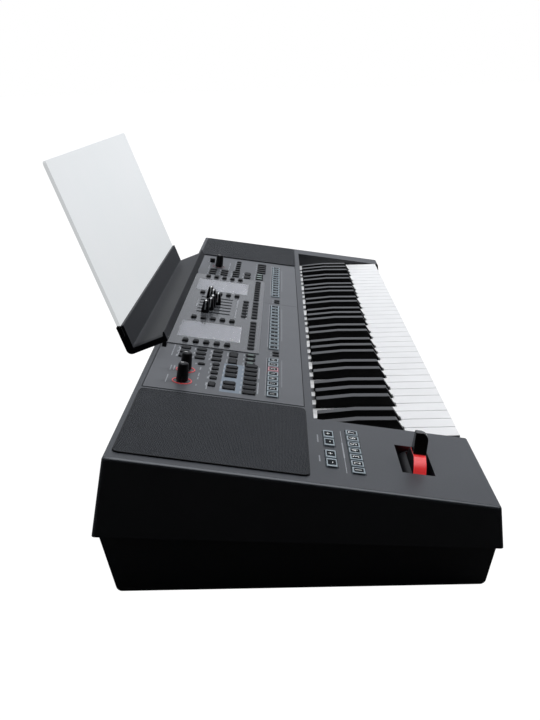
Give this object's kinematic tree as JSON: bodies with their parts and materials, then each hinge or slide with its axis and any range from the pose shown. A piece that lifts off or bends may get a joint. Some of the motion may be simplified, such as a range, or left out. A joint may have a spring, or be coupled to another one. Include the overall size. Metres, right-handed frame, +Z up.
{
  "type": "arranger keyboard",
  "caption": "Arranger keyboard with piano-style keys, loudspeaker grilles, a control panel with display windows, a bender lever and a lift-off music rest.",
  "frame": {"origin": "on the floor under the middle of the whole object's box", "axes": "+X along the keys from bass to treble, +Y from the player to the rear, +Z up"},
  "size_m": [1.045, 0.4098, 0.3295],
  "materials": {
    "case_black": "fine-grained moulded ABS, near black",
    "panel_grey": "satin silver-grey painted ABS",
    "grille_charcoal": "powder-coated perforated sheet",
    "key_white": "semi-gloss moulded ABS",
    "key_black": "satin moulded ABS",
    "button_black": "satin moulded ABS, near black",
    "pad_blue_grey": "satin moulded ABS with dark label insets",
    "control_black": "satin moulded ABS",
    "bender_black": "polished ABS",
    "bender_red": "polished tinted acrylic",
    "ring_red": "lit red light guide",
    "window_clear": "clear acrylic",
    "lcd_grey": "pale liquid-crystal panel",
    "rest_charcoal": "satin moulded ABS",
    "rest_opal": "opal acrylic sheet",
    "circuit_green": "solder-masked glass laminate",
    "zinc_steel": "zinc-plated",
    "rail_plastic": "acetal",
    "contact_rubber": "moulded rubber",
    "felt_red": "pressed wool felt",
    "speaker_paper": "pulp cone in a stamped basket",
    "socket_metal": "nickel-plated",
    "socket_black": "moulded nylon"
  },
  "bodies": {
    "case": {"bottom_case": "case_black", "top_case": "case_black", "rubber_feet": "contact_rubber", "case_screws": "zinc_steel", "control_panel": "panel_grey", "display_panel": "panel_grey", "display_windows": "window_clear", "lcd_modules": "lcd_grey", "panel_boards": "circuit_green", "main_board": "circuit_green", "keybed_chassis": "zinc_steel", "key_pivot_rail": "rail_plastic", "key_contact_board": "circuit_green", "key_contact_strip": "contact_rubber", "key_felt": "felt_red", "key_springs": "zinc_steel", "slider_pots": "rail_plastic", "knob_pots": "rail_plastic", "knob_rings": "ring_red", "left_grille": "grille_charcoal", "right_grille": "grille_charcoal", "speakers": "speaker_paper", "bender_housing": "control_black", "phone_jacks": "socket_black", "data_sockets": "socket_metal", "dc_inlet": "socket_black", "rear_jack_plate": "case_black"},
    "c_keys": {"c_keys": "key_white"},
    "c_sharp_keys": {"c_sharp_keys": "key_black"},
    "d_keys": {"d_keys": "key_white"},
    "d_sharp_keys": {"d_sharp_keys": "key_black"},
    "e_keys": {"e_keys": "key_white"},
    "f_keys": {"f_keys": "key_white"},
    "f_sharp_keys": {"f_sharp_keys": "key_black"},
    "g_keys": {"g_keys": "key_white"},
    "g_sharp_keys": {"g_sharp_keys": "key_black"},
    "a_keys": {"a_keys": "key_white"},
    "a_sharp_keys": {"a_sharp_keys": "key_black"},
    "b_keys": {"b_keys": "key_white"},
    "slider_cap_1": {"slider_cap_1": "control_black"},
    "slider_cap_2": {"slider_cap_2": "control_black"},
    "slider_cap_3": {"slider_cap_3": "control_black"},
    "slider_cap_4": {"slider_cap_4": "control_black"},
    "slider_cap_5": {"slider_cap_5": "control_black"},
    "slider_cap_6": {"slider_cap_6": "control_black"},
    "left_outer_knob": {"left_outer_knob": "control_black"},
    "left_inner_knob": {"left_inner_knob": "control_black"},
    "right_knob": {"right_knob": "control_black"},
    "display_buttons": {"display_buttons": "button_black"},
    "row_buttons": {"row_buttons": "button_black"},
    "left_section_buttons": {"left_section_buttons": "button_black"},
    "right_section_buttons": {"right_section_buttons": "button_black"},
    "panel_pads": {"panel_pads": "pad_blue_grey"},
    "cheek_pads": {"cheek_pads": "pad_blue_grey"},
    "bender_cradle": {"bender_cradle": "control_black"},
    "power_switch": {"power_switch": "socket_black"},
    "bender_lever": {"bender_base": "bender_red", "bender_grip": "bender_black"},
    "music_rest": {"music_rest_tray": "rest_charcoal", "music_rest_board": "rest_opal"}
  },
  "joints": [
    {"name": "c_keys_press", "type": "hinge", "parent": "case", "child": "c_keys", "pos_m": [0, 0.00212, 0.062], "axis": [1, 0, 0], "range_deg": [0, 2.89], "stiffness_Nm_per_rad": 3, "springref_deg": -17.19},
    {"name": "c_sharp_keys_press", "type": "hinge", "parent": "case", "child": "c_sharp_keys", "pos_m": [0, 0.00212, 0.062], "axis": [1, 0, 0], "range_deg": [0, 2.89], "stiffness_Nm_per_rad": 3, "springref_deg": -17.19},
    {"name": "d_keys_press", "type": "hinge", "parent": "case", "child": "d_keys", "pos_m": [0, 0.00212, 0.062], "axis": [1, 0, 0], "range_deg": [0, 2.89], "stiffness_Nm_per_rad": 3, "springref_deg": -17.19},
    {"name": "d_sharp_keys_press", "type": "hinge", "parent": "case", "child": "d_sharp_keys", "pos_m": [0, 0.00212, 0.062], "axis": [1, 0, 0], "range_deg": [0, 2.89], "stiffness_Nm_per_rad": 3, "springref_deg": -17.19},
    {"name": "e_keys_press", "type": "hinge", "parent": "case", "child": "e_keys", "pos_m": [0, 0.00212, 0.062], "axis": [1, 0, 0], "range_deg": [0, 2.89], "stiffness_Nm_per_rad": 3, "springref_deg": -17.19},
    {"name": "f_keys_press", "type": "hinge", "parent": "case", "child": "f_keys", "pos_m": [0, 0.00212, 0.062], "axis": [1, 0, 0], "range_deg": [0, 2.89], "stiffness_Nm_per_rad": 3, "springref_deg": -17.19},
    {"name": "f_sharp_keys_press", "type": "hinge", "parent": "case", "child": "f_sharp_keys", "pos_m": [0, 0.00212, 0.062], "axis": [1, 0, 0], "range_deg": [0, 2.89], "stiffness_Nm_per_rad": 3, "springref_deg": -17.19},
    {"name": "g_keys_press", "type": "hinge", "parent": "case", "child": "g_keys", "pos_m": [0, 0.00212, 0.062], "axis": [1, 0, 0], "range_deg": [0, 2.89], "stiffness_Nm_per_rad": 3, "springref_deg": -17.19},
    {"name": "g_sharp_keys_press", "type": "hinge", "parent": "case", "child": "g_sharp_keys", "pos_m": [0, 0.00212, 0.062], "axis": [1, 0, 0], "range_deg": [0, 2.89], "stiffness_Nm_per_rad": 3, "springref_deg": -17.19},
    {"name": "a_keys_press", "type": "hinge", "parent": "case", "child": "a_keys", "pos_m": [0, 0.00212, 0.062], "axis": [1, 0, 0], "range_deg": [0, 2.89], "stiffness_Nm_per_rad": 3, "springref_deg": -17.19},
    {"name": "a_sharp_keys_press", "type": "hinge", "parent": "case", "child": "a_sharp_keys", "pos_m": [0, 0.00212, 0.062], "axis": [1, 0, 0], "range_deg": [0, 2.89], "stiffness_Nm_per_rad": 3, "springref_deg": -17.19},
    {"name": "b_keys_press", "type": "hinge", "parent": "case", "child": "b_keys", "pos_m": [0, 0.00212, 0.062], "axis": [1, 0, 0], "range_deg": [0, 2.89], "stiffness_Nm_per_rad": 3, "springref_deg": -17.19},
    {"name": "slider_cap_1_slide", "type": "slide", "parent": "case", "child": "slider_cap_1", "axis": [0, 0.9874, 0.158], "range_m": [-0.02656, 0.00544]},
    {"name": "slider_cap_2_slide", "type": "slide", "parent": "case", "child": "slider_cap_2", "axis": [0, 0.9874, 0.158], "range_m": [-0.02144, 0.01056]},
    {"name": "slider_cap_3_slide", "type": "slide", "parent": "case", "child": "slider_cap_3", "axis": [0, 0.9874, 0.158], "range_m": [-0.02016, 0.01184]},
    {"name": "slider_cap_4_slide", "type": "slide", "parent": "case", "child": "slider_cap_4", "axis": [0, 0.9874, 0.158], "range_m": [-0.01408, 0.01792]},
    {"name": "slider_cap_5_slide", "type": "slide", "parent": "case", "child": "slider_cap_5", "axis": [0, 0.9874, 0.158], "range_m": [-0.02144, 0.01056]},
    {"name": "slider_cap_6_slide", "type": "slide", "parent": "case", "child": "slider_cap_6", "axis": [0, 0.9874, 0.158], "range_m": [-0.02592, 0.00608]},
    {"name": "left_outer_knob_turn", "type": "hinge", "parent": "case", "child": "left_outer_knob", "pos_m": [-0.31529, 0.0692, 0.1178], "axis": [0, -0.158, 0.9874], "range_deg": [-150, 150]},
    {"name": "left_inner_knob_turn", "type": "hinge", "parent": "case", "child": "left_inner_knob", "pos_m": [-0.27822, 0.0692, 0.1178], "axis": [0, -0.158, 0.9874], "range_deg": [-150, 150]},
    {"name": "right_knob_turn", "type": "hinge", "parent": "case", "child": "right_knob", "pos_m": [0.26713, 0.06997, 0.11793], "axis": [0, -0.158, 0.9874], "range_deg": [-150, 150]},
    {"name": "display_buttons_press", "type": "slide", "parent": "case", "child": "display_buttons", "axis": [0, 0.158, -0.9874], "range_m": [0, 0.0008], "stiffness_N_per_m": 600, "springref_m": -0.002},
    {"name": "row_buttons_press", "type": "slide", "parent": "case", "child": "row_buttons", "axis": [0, 0.158, -0.9874], "range_m": [0, 0.0008], "stiffness_N_per_m": 600, "springref_m": -0.002},
    {"name": "left_section_buttons_press", "type": "slide", "parent": "case", "child": "left_section_buttons", "axis": [0, 0.158, -0.9874], "range_m": [0, 0.0008], "stiffness_N_per_m": 600, "springref_m": -0.002},
    {"name": "right_section_buttons_press", "type": "slide", "parent": "case", "child": "right_section_buttons", "axis": [0, 0.158, -0.9874], "range_m": [0, 0.0008], "stiffness_N_per_m": 600, "springref_m": -0.002},
    {"name": "panel_pads_press", "type": "slide", "parent": "case", "child": "panel_pads", "axis": [0, 0.158, -0.9874], "range_m": [0, 0.0008], "stiffness_N_per_m": 600, "springref_m": -0.002},
    {"name": "cheek_pads_press", "type": "slide", "parent": "case", "child": "cheek_pads", "axis": [0, 0.158, -0.9874], "range_m": [0, 0.0008], "stiffness_N_per_m": 600, "springref_m": -0.002},
    {"name": "bender_push", "type": "hinge", "parent": "case", "child": "bender_cradle", "pos_m": [-0.44599, -0.14059, 0.06954], "axis": [-1, 0, 0], "range_deg": [0, 18], "stiffness_Nm_per_rad": 0.3, "springref_deg": -8.59},
    {"name": "bender_swing", "type": "hinge", "parent": "bender_cradle", "child": "bender_lever", "pos_m": [-0.44599, -0.14059, 0.06954], "axis": [0, 0.9874, 0.158], "range_deg": [-25, 25], "stiffness_Nm_per_rad": 0.1},
    {"name": "power_switch_press", "type": "slide", "parent": "case", "child": "power_switch", "axis": [0, -1, 0], "range_m": [0, 0.002], "stiffness_N_per_m": 200, "springref_m": -0.004},
    {"name": "music_rest_lift", "type": "slide", "parent": "case", "child": "music_rest", "axis": [0, -0.158, 0.9874], "range_m": [0, 0.05]}
  ]
}
